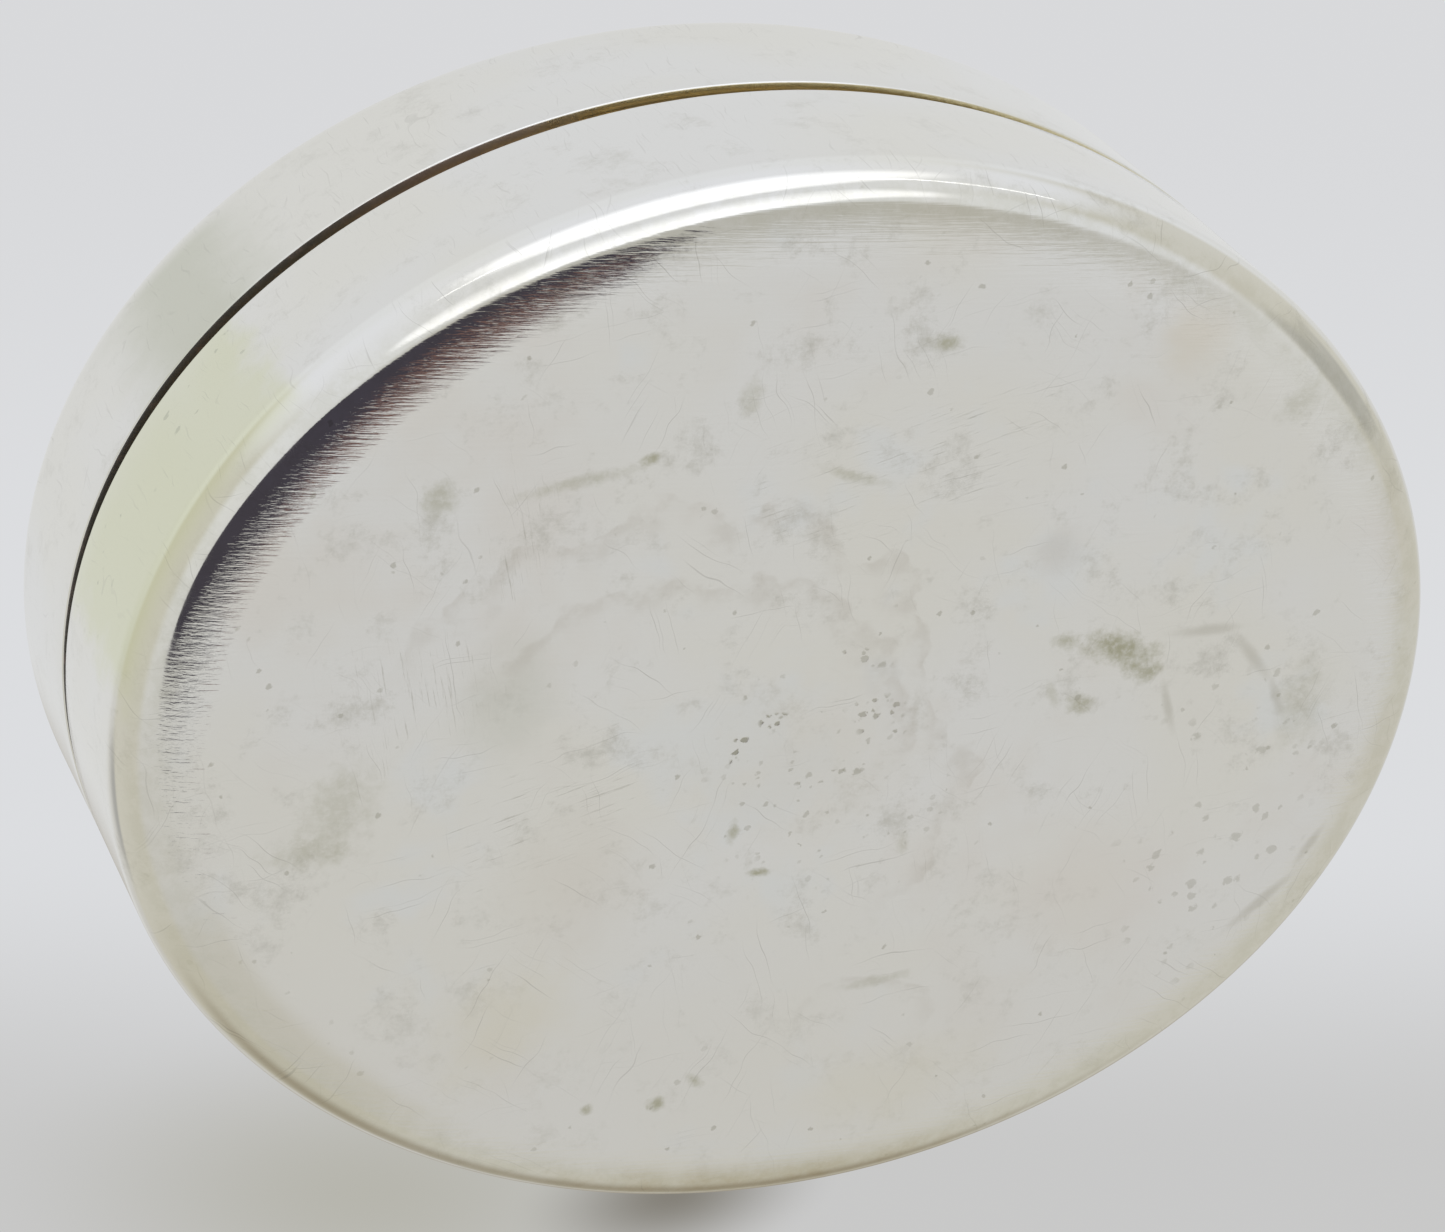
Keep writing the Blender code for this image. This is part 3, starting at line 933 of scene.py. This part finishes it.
def add_world():
    """A light tent: bright over the box as it stands in the view, pale below, with dark gaps."""
    sky = Sky()
    toward_table = sky.vector("DOT_PRODUCT", sky.place, -TABLE_UP)

    # Pale all round, and duller toward the table and level with the box.
    upper, lower = (0.780, 0.790, 0.795), (0.640, 0.635, 0.615)
    colour = sky.mix(sky.fade(toward_table, -0.4, 0.6), upper, lower)
    behind = sky.fade(sky.z, 0.62, 0.80)
    colour = sky.mix(behind, colour, (0.730, 0.735, 0.735))
    low = sky.fade(sky.z, -0.66, -0.42)
    level = sky.both(low, sky.fade(sky.z, 0.60, 0.40))
    shade = sky.both(level, sky.fade(toward_table, -0.72, -0.45))
    colour = sky.mix(sky.both(shade, 0.80), colour, (0.620, 0.605, 0.530))

    # The shade where the box meets the table.
    contact = sky.either(
        sky.both(sky.fade(toward_table, 0.80, 0.97), sky.fade(sky.z, -0.35, 0.15)),
        sky.both(sky.patch((0.35, 0.62), (0.42, 0.30), 0.8), sky.fade(sky.z, 0.3, 0.5)),
    )
    colour = sky.mix(sky.both(contact, 0.8), colour, (0.340, 0.300, 0.225))

    # The lights that the edge of the underside mirrors, with grey between them.
    below = sky.fade(sky.z, -0.3, -0.5)
    grey = sky.both(sky.patch((0.20, -0.12), (0.62, 0.26), 0.5), below)
    colour = sky.mix(grey, colour, (0.540, 0.530, 0.490))
    near_light = sky.both(sky.patch((0.04, -0.53), (0.47, 0.23), 0.20), below)
    colour = sky.mix(near_light, colour, (1.260, 1.270, 1.300))
    overhead = sky.both(sky.fade(toward_table, -0.45, -0.75), sky.fade(sky.z, 0.5, 0.2))
    colour = sky.mix(overhead, colour, (0.800, 0.810, 0.830))
    far_light = sky.both(sky.patch((0.05, -0.92), (0.62, 0.13), 0.4), sky.fade(sky.z, 0.10, -0.15))
    colour = sky.mix(far_light, colour, (1.220, 1.230, 1.260))

    # The dark gaps: the room behind, a corner at the right, and the viewer.
    room = sky.both(
        sky.fade(sky.z, 0.33, 0.44),
        sky.fade(sky.z, 0.72, 0.46),
        sky.patch((-0.66, 0.62), (0.28, 0.24), 0.8),
    )
    colour = sky.mix(sky.both(room, 0.9), colour, (0.400, 0.400, 0.395))
    corner = sky.both(sky.patch((0.93, -0.12), (0.14, 0.22), 0.7), sky.fade(sky.z, 0.3, 0.1))
    colour = sky.mix(corner, colour, (0.480, 0.475, 0.440))
    viewer = sky.both(sky.patch((-0.13, 0.07), (0.41, 0.27), 0.04, -14), below)
    reddish = sky.both(viewer, sky.patch((0.13, 0.13), (0.18, 0.10), 0.7, -30))
    colour = sky.mix(viewer, colour, (0.060, 0.054, 0.070))
    colour = sky.mix(reddish, colour, (0.210, 0.120, 0.100))
    sky.link(colour, sky.tree.nodes["Background"].inputs["Color"])


def add_stage():
    add_world()
    add_floor()
    add_backdrop()
    add_walls()
    add_strip("overhead", Vector((-0.50, -0.84, -0.30)), Vector((0.66, -0.78, -0.28)))


gold_wash = gilt("gold_wash")
build_cups(gold_wash, rim_metal("rim_metal"))
build_bezel(gold_wash)
build_hinge(gold_wash)
add_camera()
add_stage()
bpy.context.scene.view_settings.view_transform = "Standard"
